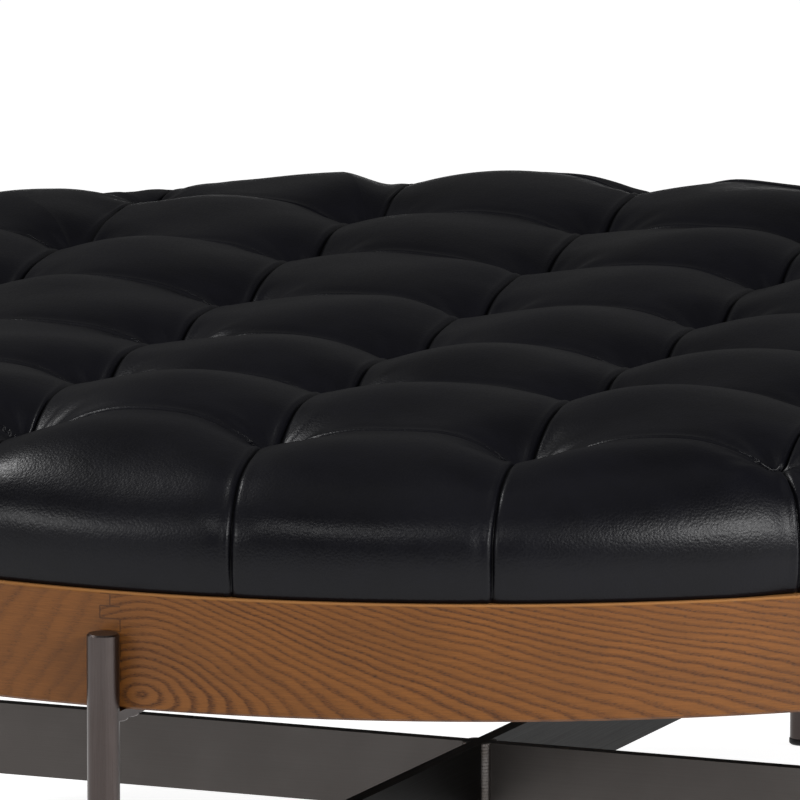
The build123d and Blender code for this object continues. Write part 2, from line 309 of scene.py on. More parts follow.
def wood_tone(shader, where, line, pores, light, dark, pore):
    """Wood's colour: a light ground with fibres, darker early wood, and dark pores in it."""
    cloud = shader.streaks(where, 0.012, 0.03, 0.03)
    fibre = shader.streaks(where, 0.05, 1.3, 1.3, 3.0, 0.6)
    deeper = tuple(0.86 * part for part in light[:3]) + (1.0,)
    ground = shader.mix(shader.steps(cloud, 0.35, 0.65), light, deeper)
    ground = shader.darken(ground, shader.steps(fibre, 0.3, 0.7, 0.86, 1.12))
    return shader.mix(pores, shader.mix(line, ground, dark), pore)


def ring_wood_material(name, joint, towards, pith, ring_width, contrast, lean=0.0):
    """One segment of the ring: growth rings that open out from a pith near one of its joints.

    Lengths are in millimetres: along the ring's face from the joint, up from its lower edge, and in
    from its face. The rings are ellipses round the pith, which stretch out with the distance from
    it. Towards is 1 or -1, the way round from the joint. Lean tilts the rings off upright.
    """
    shader = Shader(name, Specular_IOR_Level=0.25)
    turned = shader.separate(shader.place(turn=(0, 0, -joint)))
    radius = shader.math("POWER", shader.total(shader.times(turned["X"], turned["X"]),
                                               shader.times(turned["Y"], turned["Y"])), 0.5)
    turn = shader.math("ARCTAN2", turned["Y"], turned["X"])
    along = shader.times(turn, RING_RADIUS * towards)
    height = shader.scaled(turned["Z"], 1 / MM, -RING_BOTTOM)
    depth = shader.scaled(radius, -1 / MM, RING_RADIUS)
    where = shader.combine(along, height, depth)

    leaning = shader.times(height, lean)
    from_pith = shader.total(along, shader.times(depth, RING_SLANT), leaning, -pith[0])
    from_pith_squared = shader.times(from_pith, from_pith)
    away = shader.total(from_pith_squared, RING_CORE**2)
    away = shader.total(shader.math("POWER", away, 0.5), -RING_CORE)
    squeeze = shader.scaled(away, 1 / RING_STRETCH, 1.0)
    across = shader.math("DIVIDE", from_pith_squared, squeeze)
    drop = shader.times(shader.math("DIVIDE", away, shader.total(away, RING_DROP_LENGTH)), RING_DROP)
    up = shader.times(shader.total(height, drop, -pith[1]), 1 / ring_width[1])
    rings = shader.scaled(across, 1 / ring_width[0] ** 2, shader.times(up, up))
    rings = shader.math("POWER", rings, 0.5)
    rings = shader.scaled(shader.times(rings, rings), RING_CROWDING, rings)
    bend = shader.streaks(where, 0.012, 0.03, 0.03)
    waver = shader.streaks(where, 0.07, 0.2, 0.2)
    rings = shader.total(rings, shader.times(bend, 1.8), shader.times(waver, 0.22))
    phase = shader.math("FRACT", rings)
    line = shader.math("MAXIMUM", shader.steps(phase, 0.78, 1.0), shader.steps(phase, 0.0, 0.5, 1.0, 0.0))
    each_ring = shader.times(shader.math("FLOOR", rings), 3.7)
    strength = shader.noise(shader.combine(each_ring, 0.0, 0.0), 1.0, 0.0)
    line = shader.times(line, shader.steps(strength, 0.3, 0.7, 0.55 * contrast, contrast))
    specks = shader.streaks(where, 0.35, 2.4, 2.4, 1.0)
    pores = shader.times(shader.steps(specks, 0.5, 0.64), shader.scaled(line, 0.9, 0.1))
    tone = wood_tone(shader, where, line, pores, srgb(121, 75, 33), srgb(80, 45, 18), srgb(46, 26, 12))

    quarter = pi / 2
    wrapped = shader.times(shader.math("WRAP", turn, quarter / 2, -quarter / 2), RING_RADIUS)
    finger = shader.times(shader.total(height, -FINGER_LAND), 1 / FINGER_HEIGHT)
    odd = shader.math("FLOORED_MODULO", shader.math("FLOOR", finger), 2.0)
    fingered = shader.times(shader.math("GREATER_THAN", finger, 0.0),
                            shader.math("LESS_THAN", finger, FINGER_COUNT))
    side = shader.times(shader.times(shader.total(shader.times(odd, 2.0), -1.0), fingered), FINGER_LENGTH / 2)
    from_end = shader.math("ABSOLUTE", shader.math("SUBTRACT", wrapped, side))
    from_edge = shader.times(shader.math("PINGPONG", finger, 0.5), FINGER_HEIGHT)
    beside = shader.math("GREATER_THAN", shader.math("ABSOLUTE", wrapped), FINGER_LENGTH / 2)
    from_edge = shader.total(from_edge, shader.times(beside, RING_RADIUS))
    glue = shader.steps(shader.math("MINIMUM", from_end, from_edge), 0.15, 0.75, 0.6, 0.0)
    tone = shader.mix(glue, tone, srgb(44, 26, 15))
    # Painted highlight: a lighter band along the ring's eased top edge.
    painted_top_edge_highlight = shader.steps(height, RING_HEIGHT - 1.6, RING_HEIGHT - 0.7, 0.0, 0.85)
    tone = shader.mix(painted_top_edge_highlight, tone, srgb(158, 110, 64))
    rough = shader.total(shader.times(line, 0.1), shader.times(pores, 0.15), 0.38)
    relief = shader.scaled(pores, -1.0, shader.times(glue, -0.6))
    return shader.finish(tone, rough, shader.bump(relief, 0.15 * MM, 0.8))


def block_wood_material():
    """Plain straight-grained timber for hidden blocks: slightly curved rings and fine pores."""
    shader = Shader("block_wood", Specular_IOR_Level=0.35)
    where = shader.place(scale=(1 / MM, 1 / MM, 1 / MM))
    spot = shader.separate(where)
    bend = shader.streaks(where, 0.02, 0.02, 0.01)
    rings = shader.total(shader.times(spot["Z"], 1 / BLOCK_RING_WIDTH), shader.times(spot["X"], 0.013),
                         shader.times(spot["Y"], 0.011), shader.times(bend, 3.0))
    line = shader.steps(shader.math("PINGPONG", rings, 0.5), 0.0, 0.22, 0.7, 0.0)
    specks = shader.streaks(where, 1.6, 1.6, 0.5, 1.0)
    pores = shader.times(shader.steps(specks, 0.58, 0.7), 0.5)
    tone = wood_tone(shader, where, line, pores, srgb(196, 160, 116), srgb(158, 118, 78), srgb(110, 76, 46))
    rough = shader.scaled(line, 0.1, 0.58)
    return shader.finish(tone, rough, shader.bump(shader.times(pores, -1.0), 0.12 * MM, 0.7))


def plywood_material():
    """Birch plywood: a rotary-cut face, and plies that show at the panel's edge."""
    shader = Shader("plywood", Specular_IOR_Level=0.35)
    where = shader.place(scale=(1 / MM, 1 / MM, 1 / MM))
    spot = shader.separate(where)
    figure = shader.streaks(where, 0.004, 0.03, 0.03, 3.0, 0.6)
    line = shader.steps(shader.math("PINGPONG", shader.times(figure, 9.0), 0.5), 0.0, 0.2, 0.35, 0.0)
    ply = shader.math("PINGPONG", shader.times(shader.total(spot["Z"], -DECK_BOTTOM), 1 / PLY_THICKNESS), 1.0)
    line = shader.mix(shader.math("LESS_THAN", shader.upright(), 0.5), line, shader.steps(ply, 0.4, 0.6))
    tone = wood_tone(shader, where, line, 0.0, srgb(206, 178, 136), srgb(160, 124, 84), srgb(120, 88, 58))
    rough = shader.steps(figure, 0.3, 0.7, 0.55, 0.65)
    return shader.finish(tone, rough, shader.bump(figure, 0.2 * MM, 0.4))


def metal_material(name, base, stained, roughness, brush):
    """Dark finished steel with faint stains. Brush is the pace of its marks along each axis."""
    shader = Shader(name, Metallic=1.0)
    where = shader.place()
    marks = shader.noise(shader.place(scale=brush), 1.0, 3.0, 0.7)
    cloud = shader.noise(where, 14.0, 3.0, 0.6)
    fine = shader.noise(where, 900.0, 1.0)
    stain = shader.total(shader.times(shader.steps(cloud, 0.35, 0.7), 0.5),
                         shader.times(shader.steps(marks, 0.35, 0.65), 0.5))
    rough = shader.steps(marks, 0.3, 0.7, roughness - 0.05, roughness + 0.05)
    rough = shader.total(rough, shader.times(fine, 0.05))
    relief = shader.bump(marks, 0.05 * MM, 0.5, shader.bump(fine, 0.02 * MM, 0.4))
    shader.finish(shader.mix(stain, base, stained), rough, relief)
    return shader


def brace_material(name, brush, base, stained, glancing=1.0):
    """Brushed flat bar, near-black on the faces that point up and down; glancing dims its sheen."""
    shader = metal_material(name, base, stained, 0.44, brush)
    shader.feed("Specular Tint", (glancing, glancing, glancing, 1))
    brushed = shader.principled.inputs["Base Color"].links[0].from_socket
    edge = shader.steps(shader.upright(), 0.3, 0.7)
    shader.feed("Base Color", shader.mix(edge, brushed, srgb(22, 21, 21)))
    return shader.material


def weld_material():
    """Bright ground steel with a faint straw and blue heat tint."""
    shader = Shader("weld_metal", Metallic=1.0)
    where = shader.place()
    heat = shader.noise(where, 45.0, 2.0)
    grit = shader.noise(where, 1100.0, 2.0)
    tone = shader.mix(shader.steps(heat, 0.4, 0.7), srgb(98, 94, 92), srgb(84, 78, 74))
    tone = shader.mix(shader.steps(heat, 0.62, 0.75), tone, srgb(76, 78, 86))
    rough = shader.steps(grit, 0.3, 0.7, 0.3, 0.45)
    return shader.finish(tone, rough, shader.bump(grit, 0.06 * MM, 0.6))


def foam_material():
    """Cream upholstery foam with open cells, and shade painted into the cells' hollows."""
    shader = Shader("foam", Specular_IOR_Level=0.2)
    where = shader.place()
    cells = shader.cells(where, 900.0)
    cloud = shader.noise(where, 12.0, 3.0)
    tone = shader.mix(shader.steps(cloud, 0.35, 0.65), srgb(226, 212, 168), srgb(212, 196, 150))
    # Painted shade: the foam is darkened in the hollows of its cells, where the bump dips.
    tone = shader.mix(shader.steps(cells, 0.1, 0.4, 0.35, 0.0), tone, srgb(168, 148, 104))
    rough = shader.steps(cells, 0.1, 0.6, 0.85, 0.95)
    return shader.finish(tone, rough, shader.bump(cells, 0.5 * MM, 0.8))


def tape_material():
    """Natural cotton tape with a tight weave."""
    shader = Shader("tape", Specular_IOR_Level=0.2)
    spot = shader.separate(shader.place(scale=(TAPE_THREADS, TAPE_THREADS, TAPE_THREADS)))
    warp = shader.math("SINE", shader.total(spot["X"], spot["Y"]))
    weft = shader.math("SINE", shader.total(spot["Z"], shader.math("SUBTRACT", spot["X"], spot["Y"])))
    weave = shader.steps(shader.times(warp, weft), -1.0, 1.0)
    slub = shader.noise(shader.place(), 400.0, 2.0)
    tone = shader.mix(shader.times(weave, slub), srgb(168, 156, 130), srgb(214, 204, 182))
    rough = shader.steps(slub, 0.3, 0.7, 0.8, 0.92)
    return shader.finish(tone, rough, shader.bump(weave, 0.25 * MM, 0.8))


def dust_cloth_material():
    """Black spun-bonded cloth: tangled fibres with a close pattern of pressed points."""
    shader = Shader("dust_cloth", Specular_IOR_Level=0.25)
    where = shader.place()
    fibres = shader.noise(where, 260.0, 4.0, 0.7, 1.2)
    points = shader.cells(where, 520.0, randomness=0.1)
    pressed = shader.steps(points, 0.12, 0.3, 1.0, 0.0)
    tone = shader.mix(shader.steps(fibres, 0.4, 0.65), srgb(24, 24, 26), srgb(46, 46, 48))
    tone = shader.mix(shader.times(pressed, 0.5), tone, srgb(16, 16, 17))
    rough = shader.steps(fibres, 0.3, 0.7, 0.78, 0.9)
    relief = shader.scaled(pressed, -0.6, fibres)
    return shader.finish(tone, rough, shader.bump(relief, 0.25 * MM, 0.7))


def nylon_material():
    """Black moulded nylon with a fine matte texture and scuffs."""
    shader = Shader("nylon", Specular_IOR_Level=0.4)
    where = shader.place()
    grain = shader.noise(where, 1600.0, 2.0)
    scuff = shader.noise(shader.place(scale=(90, 90, 500)), 1.0, 3.0)
    tone = shader.mix(shader.steps(scuff, 0.55, 0.7), srgb(30, 30, 31), srgb(48, 48, 49))
    rough = shader.total(shader.steps(grain, 0.3, 0.7, 0.45, 0.55), shader.times(scuff, 0.08))
    return shader.finish(tone, rough, shader.bump(grain, 0.04 * MM, 0.6))


def envelope_profile():
    """The cushion's meridian without tufts: arc length, radius, height and outward normal."""
    crown = BULGE_RADIUS - SHOULDER_REACH
    drop = CUSHION_TOP - BULGE_LEVEL
    turn = np.linspace(0, pi / 2, 200)[1:]
    fall = np.linspace(0, 1, 40)[1:]
    radius = np.concatenate([np.linspace(0, crown, 300), crown + SHOULDER_REACH * np.sin(turn),
                             BULGE_RADIUS - FOOT_INSET * fall**2])
    height = np.concatenate([np.full(300, CUSHION_TOP), BULGE_LEVEL + drop * np.cos(turn),
                             BULGE_LEVEL - BULGE_HEIGHT * fall])
    along = np.concatenate([[0], np.cumsum(np.hypot(np.diff(radius), np.diff(height)))])
    slope_r = np.gradient(radius, along)
    slope_z = np.gradient(height, along)
    return along, radius, height, -slope_z, slope_r


PROFILE = envelope_profile()
MERIDIAN_END = PROFILE[0][-1]


def meridian_at(radius):
    """Arc length from the centre to a point of the crown or shoulder at that radius."""
    rising = PROFILE[0] <= MERIDIAN_END - BULGE_HEIGHT
    return np.interp(radius, PROFILE[1][rising], PROFILE[0][rising])


def tuft_at(across, away):
    return TUFT_SHIFT + (across - 1) * ACROSS + (away - 4) * AWAY


def sewn_tufts():
    """Every lattice step whose tuft lies inside the border."""
    steps = [(across, away) for across in range(-4, 7) for away in range(-1, 10)]
    return {step for step in steps if hypot(*tuft_at(*step)) < BULGE_RADIUS - TUFT_EDGE_MARGIN}


TUFTS = sewn_tufts()
TUFT_PLACES = np.array([tuft_at(*step) for step in sorted(TUFTS)])


def cell_corners(across, away):
    return [(across, away), (across + 1, away), (across + 1, away + 1), (across, away + 1)]


def border_path():
    """The tufts and concave corners round the tufted field, anticlockwise, as lattice steps."""
    cells = [step for step in TUFTS if all(corner in TUFTS for corner in cell_corners(*step))]
    edges = {}
    for cell in cells:
        corners = cell_corners(*cell)
        for start, end in zip(corners, corners[1:] + corners[:1]):
            edges[(start, end)] = True
    outer = {start: end for start, end in edges if (end, start) not in edges}
    path = [min(outer)]
    while outer[path[-1]] != path[0]:
        path.append(outer[path[-1]])
    return cells, path


CELLS, PATH = border_path()


def is_concave(position):
    """True where the path turns clockwise, so that no border pleat starts there."""
    before, here, after = (np.array(PATH[(position + step) % len(PATH)]) for step in (-1, 0, 1))
    first, second = here - before, after - here
    return first[0] * second[1] - first[1] * second[0] < 0


def wave_field(x, y, seed, scale):
    """A smooth random field of about unit size, made of a few plane waves."""
    random = np.random.default_rng(seed)
    total = np.zeros_like(x)
    for _ in range(WAVE_COUNT):
        heading, phase = random.uniform(0, 2 * pi, 2)
        pace = 2 * pi / (scale * random.uniform(0.7, 1.5))
        total += np.sin((x * cos(heading) + y * sin(heading)) * pace + phase)
    return total / np.sqrt(WAVE_COUNT)


def hump(value, width, middle=0.0):
    """1 at the middle, and easing to 0 on both sides of it."""
    return np.exp(-(((value - middle) / width) ** 2))


def crease(offset):
    """Height across a pleat in millimetres: a rolled lip on its negative side, then the crease."""
    valley = -CREASE_DEPTH * hump(offset, CREASE_WIDTH)
    lip = 1.0 * hump(offset, 1.7, -2.9) - 0.5 * hump(offset, 4, -9)
    return valley + lip + 0.4 * hump(offset, 3, 4)


def nearest_tuft(x, y):
    """Distance to the nearest tuft, the angle round it, and which tuft it is."""
    away_x = x[..., None] - TUFT_PLACES[:, 0]
    away_y = y[..., None] - TUFT_PLACES[:, 1]
    distance = np.hypot(away_x, away_y)
    nearest = distance.argmin(-1)
    pick = nearest[..., None]
    angle = np.arctan2(np.take_along_axis(away_y, pick, -1), np.take_along_axis(away_x, pick, -1))
    return distance.min(-1), angle[..., 0], nearest


def seam_strength(distance):
    """The creases' depth, which grows towards a tuft."""
    return 0.75 + 0.5 * np.exp(-distance / SEAM_FADE)


def cell_side():
    """Steps along a cell's side from 0 to 1, close together at both ends."""
    half = graded(0.5, CELL_STEPS)
    return np.concatenate([half, (1 - half)[-2::-1]])


def tuft_cone(distance):
    return TUFT_EXTRA_DEPTH * np.clip(1 - distance / TUFT_CONE, 0, 1) ** 2


def smooth(value):
    """Ease from 0 to 1 as a value goes from 0 to 1."""
    value = np.clip(value, 0, 1)
    return value * value * (3 - 2 * value)


def pull_folds(distance, angle, nearest):
    """Soft folds that run into each tuft."""
    random = np.random.default_rng(31)
    phase = random.uniform(0, 2 * pi, (3, len(TUFT_PLACES)))
    ridges = np.sin(5 * angle + phase[0][nearest]) + 0.8 * np.sin(8 * angle + phase[1][nearest])
    ridges += 0.6 * np.sin(13 * angle + phase[2][nearest])
    return FOLD_HEIGHT * ridges * hump(distance, FOLD_SPREAD, FOLD_PLACE)


def fullness(x, y):
    """Millimetres by which the photographed cushion stands above its plain pattern."""
    rise = WAVE_HEIGHT * wave_field(x, y, 5, WAVE_LENGTH) - 2.0
    rise += RIM_RISE * np.minimum(np.hypot(x, y) / 560, 1) ** 2
    rise += FULLER_BY / BULGE_RADIUS * soft_above(x * cos(FULLER_SIDE) + y * sin(FULLER_SIDE), 60.0)
    for step, swelling in FULLNESS.items():
        middle = tuft_at(*step)
        rise = rise + swelling * np.exp(-((x - middle[0]) ** 2 + (y - middle[1]) ** 2) / FULLNESS_SPREAD**2)
    return rise


def soft_above(value, width):
    """A value where it is positive, easing into 0 where it isn't."""
    return width * np.logaddexp(0, value / width)


def envelope_place(angle, along, depth):
    """Points a depth inside the envelope, at polar angles and arc lengths."""
    radius, height, out_r, out_z = (np.interp(along, PROFILE[0], row) for row in PROFILE[1:])
    inside = depth - fullness(radius * np.cos(angle), radius * np.sin(angle))
    return round_points(radius - inside * out_r, angle, height - inside * out_z)


def round_points(radius, angle, height):
    """Points round the table's middle."""
    return np.stack([radius * np.cos(angle), radius * np.sin(angle), height], -1)


def graded(length, count):
    """Distances from 0 to a length, close together at the start."""
    return length * np.linspace(0, 1, count + 1) ** STEP_POWER


def join_points(mesh, distance):
    """Make points nearer than some millimetres one, turn the faces outward and shade them smooth."""
    form = bmesh.new()
    form.from_mesh(mesh)
    bmesh.ops.remove_doubles(form, verts=form.verts, dist=distance * MM)
    bmesh.ops.recalc_face_normals(form, faces=form.faces)
    form.to_mesh(mesh)
    form.free()
    mesh.shade_smooth()


class Patches:
    """Grids of points that become one mesh, with what the leather's shader needs at each point."""

    def __init__(self):
        self.points, self.faces, self.layers = [], [], {"crease": [], "tuft_angle": [], "tuft_distance": []}
        self.count = self.inside_count = 0

    def add(self, grid, **layers):
        rows, columns = grid.shape[:2]
        index = self.count + np.arange(rows * columns).reshape(rows, columns)
        self.points.append(grid.reshape(-1, 3))
        for name, values in self.layers.items():
            values.append(np.broadcast_to(layers.get(name, 0.0), (rows, columns)).ravel())
        corners = [index[:-1, :-1], index[:-1, 1:], index[1:, 1:], index[1:, :-1]]
        self.faces.append(np.stack([corner.ravel() for corner in corners], -1))
        self.count += rows * columns

    def mesh_object(self, name):
        """One mesh object. Its visible leather stays above the foam, and its edges are joined."""
        points = np.concatenate(self.points)
        radius = np.hypot(points[:, 0], points[:, 1])
        least = FOAM_TOP + LEAST_FILLING
        deep = (radius < FOAM_RADIUS) & (points[:, 2] < least + FOAM_REACH)
        deep &= points[:, 2] > FOAM_TOP - LEATHER_THICKNESS * 4
        deep &= np.arange(len(points)) < self.count - self.inside_count
        points[deep, 2] = least + soft_above(points[deep, 2] - least, FOAM_EASE)
        mesh = bpy.data.meshes.new(name)
        mesh.from_pydata((points * MM).tolist(), [], np.concatenate(self.faces).tolist())
        for layer, values in self.layers.items():
            attribute = mesh.attributes.new(layer, "FLOAT", "POINT")
            attribute.data.foreach_set("value", np.concatenate(values).astype(np.float32))
        join_points(mesh, JOIN_DISTANCE)
        return link(bpy.data.objects.new(name, mesh))


def link(obj):
    bpy.context.scene.collection.objects.link(obj)
    return obj


def add_cell(patches, across, away):
    """One whole pillow between four tufts."""
    side = cell_side()
    s, t = np.meshgrid(side, side)
    start = tuft_at(across, away)
    x = start[0] + s * ACROSS[0] + t * AWAY[0]
    y = start[1] + s * ACROSS[1] + t * AWAY[1]
    distance, angle, nearest = nearest_tuft(x, y)
    random = np.random.default_rng(100 * (across + 9) + away)
    skew_s, skew_t, plump = random.uniform(-1, 1, 3)
    round_s, round_t = 4 * s * (1 - s), 4 * t * (1 - t)
    warped_s = s + PILLOW_SKEW * skew_s * s * (1 - s) * round_t
    warped_t = t + PILLOW_SKEW * skew_t * t * (1 - t) * round_s
    depth = PLEAT_DEPTH * ((2 * warped_s - 1) ** 2 + (2 * warped_t - 1) ** 2) + tuft_cone(distance)
    depth = depth - PILLOW_VARIETY * plump * round_s * round_t
    seams = np.zeros_like(s)
    for offset in (s, s - 1, -t, 1 - t):
        seams += crease(offset * TUFT_PITCH)
    depth = depth - seam_strength(distance) * seams - pull_folds(distance, angle, nearest)
    seam = np.minimum.reduce([s, 1 - s, t, 1 - t]) * TUFT_PITCH
    grid = envelope_place(np.arctan2(y, x), meridian_at(np.hypot(x, y)), depth)
    # The crease layer marks where the leather's shader paints shade along the creases.
    patches.add(grid, crease=hump(seam, CREASE_WIDTH), tuft_angle=angle, tuft_distance=distance)


def rim_angle(step):
    """Where a border pleat meets the rim: it runs on in the lattice's most outward free direction."""
    here = tuft_at(*step)
    free = [(across, away) for across, away in ((1, 0), (0, 1), (-1, 0), (0, -1))
            if (step[0] + across, step[1] + away) not in TUFTS]
    runs = [(across * ACROSS + away * AWAY) / TUFT_PITCH for across, away in free]
    run = max(runs, key=lambda way: here @ way)
    outward = here @ run
    rim = here + (np.sqrt(outward**2 + BULGE_RADIUS**2 - here @ here) - outward) * run
    return atan2(rim[1], rim[0]) + radians(PLEAT_LEAN.get(step, 0.0))


def border_face(start, inner_radius, inner_height, outer_angle):
    """The border's round front without dips: radius, height, plan place, share of the way out, fall."""
    turn = graded(pi / 2, BORDER_STEPS)[:, None]
    start_radius = np.hypot(start[:, 0], start[:, 1])
    room = BULGE_RADIUS - start_radius
    power = 2 / np.interp(room, list(BORDER_FULLNESS), list(BORDER_FULLNESS.values()))
    share = np.sin(turn) ** power
    height = BULGE_LEVEL + (inner_height - BULGE_LEVEL) * np.abs(np.cos(turn)) ** power
    rim = BULGE_RADIUS * np.stack([np.cos(outer_angle), np.sin(outer_angle)], -1)
    plan = start + (rim - start) * share[..., None]
    fall = np.linspace(0, 1, FOOT_STEPS + 1)[1:, None] * np.ones(len(start))
    plan = np.concatenate([plan, rim * (1 - FOOT_INSET / BULGE_RADIUS * fall**2)[..., None]])
    height = np.concatenate([height, BULGE_LEVEL - BULGE_HEIGHT * fall])
    share = np.concatenate([share, np.ones_like(fall)])
    radius = np.hypot(plan[..., 0], plan[..., 1]) + (inner_radius - start_radius) * (1 - share)
    return radius, height, plan, share, np.concatenate([np.zeros_like(turn), fall[:, :1]])


def add_border(patches, steps):
    """The pillow between two border pleats, from the tufted field over the shoulder to the foot."""
    spans = len(steps) - 1
    side = cell_side()
    along_path = np.concatenate([side[:-1] + span for span in range(spans)] + [[spans]])
    s = along_path / spans
    span = np.minimum(along_path.astype(int), spans - 1)
    part = along_path - span
    places = np.array([tuft_at(*step) for step in steps])
    start = places[span] + (places[span + 1] - places[span]) * part[:, None]

    inner_angle = np.unwrap(np.arctan2(start[:, 1], start[:, 0]))
    first, last = rim_angle(steps[0]), rim_angle(steps[-1])
    first += 2 * pi * round((inner_angle[0] - first) / (2 * pi))
    last += 2 * pi * round((inner_angle[-1] - last) / (2 * pi))
    outer_angle = first + (last - first) * s
    start_radius = np.hypot(start[:, 0], start[:, 1])
    inner_along = meridian_at(start_radius)
    inner = envelope_place(inner_angle, inner_along, np.full_like(inner_angle, PLEAT_DEPTH))
    inner_radius = np.hypot(inner[:, 0], inner[:, 1])
    body_r, body_z, plan, share, fall = border_face(start, inner_radius, inner[:, 2], outer_angle)
    steps_r, steps_z = np.diff(body_r, axis=0), np.diff(body_z, axis=0)
    out = np.concatenate([np.zeros((1, len(s))), np.cumsum(np.hypot(steps_r, steps_z), axis=0)])
    slope_r, slope_z = np.gradient(body_r, axis=0), np.gradient(body_z, axis=0)
    size = np.hypot(slope_r, slope_z)
    at_path = hump(out, PATH_BLEND)
    path_r, path_z = (np.interp(inner_along, PROFILE[0], row) for row in PROFILE[3:])
    out_r = at_path * path_r + (1 - at_path) * -slope_z / size
    out_z = at_path * path_z + (1 - at_path) * slope_r / size
    angle = np.unwrap(np.arctan2(plan[..., 1], plan[..., 0]), axis=1)

    crown_room = smooth((BULGE_RADIUS - start_radius - ROOMY_FROM) / (ROOMY_TO - ROOMY_FROM))
    lift = PLEAT_DEPTH * crown_room * 4 * share * (1 - share) * np.sin(pi * s) ** 0.5
    swelling = fullness(plan[..., 0], plan[..., 1]) - fullness(plan[:1, :, 0], plan[:1, :, 1])
    lift = lift + swelling * (1 - share**2)
    width = VALLEY_SIDE_WIDTH + (TUFT_PITCH / 2 - VALLEY_SIDE_WIDTH) * (1 - share) ** 0.8
    valley = np.maximum(1 - (share / VALLEY_END) ** 2, VALLEY_LEAST * (1 - 0.5 * fall))
    dip = np.zeros_like(body_r)
    for pleat in (plan[:, :1], plan[:, -1:]):
        dip += valley * np.clip(1 - np.linalg.norm(plan - pleat, axis=-1) / width, 0, 1) ** 2
    for place in places[1:-1]:
        gap = np.linalg.norm(plan - place, axis=-1)
        dip += np.clip(1 - gap / (TUFT_PITCH / 2), 0, 1) ** 2
    near, around, nearest = nearest_tuft(plan[..., 0], plan[..., 1])
    depth = PLEAT_DEPTH * dip + tuft_cone(near) - lift

    from_first = (angle - angle[:, :1]) * body_r
    from_last = (angle - angle[:, -1:]) * body_r
    heading = np.array([(steps[i + 1][0] - steps[i][0], steps[i + 1][1] - steps[i][1]) for i in range(spans)])
    lip_outside = ((heading @ np.array([-1, -1])) > 0)[span]
    turned = np.where((heading @ np.array([1, -1]) > 0)[span], 1, -1)
    lattice_share = hump(out, LATTICE_FADE)
    lattice_seams = crease(turned * part * TUFT_PITCH) + crease(turned * (part - 1) * TUFT_PITCH)
    border_seams = (1 - 0.5 * fall) * (crease(from_first) + crease(from_last))
    from_pleat = np.minimum(np.abs(from_first), np.abs(from_last))
    lip_share = 0.5 + (lip_outside - 0.5) * smooth(from_pleat / LIP_BLEND)
    path_seam = lip_share * crease(-out) + (1 - lip_share) * crease(out)
    seams = path_seam + lattice_share * lattice_seams + (1 - lattice_share) * border_seams
    rise = seam_strength(near) * seams + pull_folds(near, around, nearest) - depth
    body_r, body_z = body_r + rise * out_r, body_z + rise * out_z
    seam = np.minimum(from_pleat, out)
    grid = round_points(body_r, angle, body_z)
    # The crease layer marks where the leather's shader paints shade along the creases.
    patches.add(grid, crease=hump(seam, CREASE_WIDTH), tuft_angle=around, tuft_distance=near)
    return grid[-1]


def leather_cushion():
    """The whole tufted cover: pillows, border, the edge turned under, and the hidden inside."""
    patches = Patches()
    for cell in sorted(CELLS):
        add_cell(patches, *cell)
    turned = [position for position in range(len(PATH)) if not is_concave(position)]
    foot = []
    for start, end in zip(turned, turned[1:] + [turned[0] + len(PATH)]):
        steps = [PATH[position % len(PATH)] for position in range(start, end + 1)]
        foot.append(add_border(patches, steps)[:-1])
    foot = np.concatenate(foot + [foot[0][:1]])
    angle = np.arctan2(foot[:, 1], foot[:, 0])
    gap = CUSHION_BOTTOM - RING_TOP
    deck, foam = DECK_RADIUS + gap, FOAM_RADIUS + gap
    under, over, top = DECK_BOTTOM - gap, DECK_TOP + gap, FOAM_TOP + gap
    inside = [(FLANGE_INNER_RADIUS, CUSHION_BOTTOM), (FLANGE_INNER_RADIUS, under), (deck, under),
              (deck, over), (foam, over), (foam, top), (0, top)]
    rows = [foot] + [round_points(radius, angle, np.full_like(angle, height)) for radius, height in inside]
    patches.add(np.array(rows), tuft_distance=TUFT_PITCH)
    patches.inside_count = foot.shape[0] * len(rows)
    return patches.mesh_object("leather_cushion")


cushion = leather_cushion()
cushion.data.materials.append(leather_material())
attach(cushion, "root")
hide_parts("leather_cover")


def dress(material, *nodes):
    """Give CAD nodes a material, on their objects' own slots."""
    for node in nodes:
        for slot in bpy.data.objects[node].material_slots:
            slot.link = "OBJECT"
            slot.material = material


def numbered(name, count):
    return [f"{name}_{number}" for number in range(1, count + 1)]


def form_object(name, tubes, material):
    """A closed piece that rides on the table.

    Each tube is a list of closed rows of points in millimetres, each row as long as the last. It
    gets its ends filled.
    """
    points, faces = [], []
    for rows in tubes:
        count = len(rows[0])
        first = len(points)
        last = first + (len(rows) - 1) * count
        for row in range(first, last, count):
            for column in range(count):
                here, beside = row + column, row + (column + 1) % count
                faces.append((here, beside, beside + count, here + count))
        faces += [tuple(range(end, end + count)) for end in (first, last)]
        points += [[part * MM for part in point] for row in rows for point in row]
    mesh = bpy.data.meshes.new(name)
    mesh.from_pydata(points, [], faces)
    join_points(mesh, 0.001)
    mesh.set_sharp_from_angle(angle=radians(35))
    mesh.materials.append(material)
    piece = link(bpy.data.objects.new(name, mesh))
    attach(piece, "root")
    return piece


def round_row(middle, radius, height, corners=0):
    """A level ring of points round a middle, or with corners, round a polygon of that inner radius."""
    row = []
    for step in range(ROUND_STEPS):
        angle = 2 * pi * step / ROUND_STEPS
        reach = radius
        if corners:
            half = pi / corners
            reach = radius / cos((angle % (2 * half)) - half)
        row.append((middle[0] + reach * cos(angle), middle[1] + reach * sin(angle), height))
    return row


def polar(angle, radius):
    return (radius * cos(angle), radius * sin(angle))


QUARTERS = [quarter * pi / 2 for quarter in range(4)]
ROUND_STEPS = 36

# Screws up into the ring and the deck: socket button heads on washers
SCREW_RADIUS = 5.6
SCREW_HEIGHT = 3.1
SCREW_SOCKET = 1.9
WASHER_RADIUS = 8.2
WASHER_THICKNESS = 1.2
TAB_SCREW_STEPS = (10.0, 26.0)
BLOCK_COUNT = 8
BLOCK_START = radians(12.0)
BLOCK_SCREW_RADIUS = 540.0

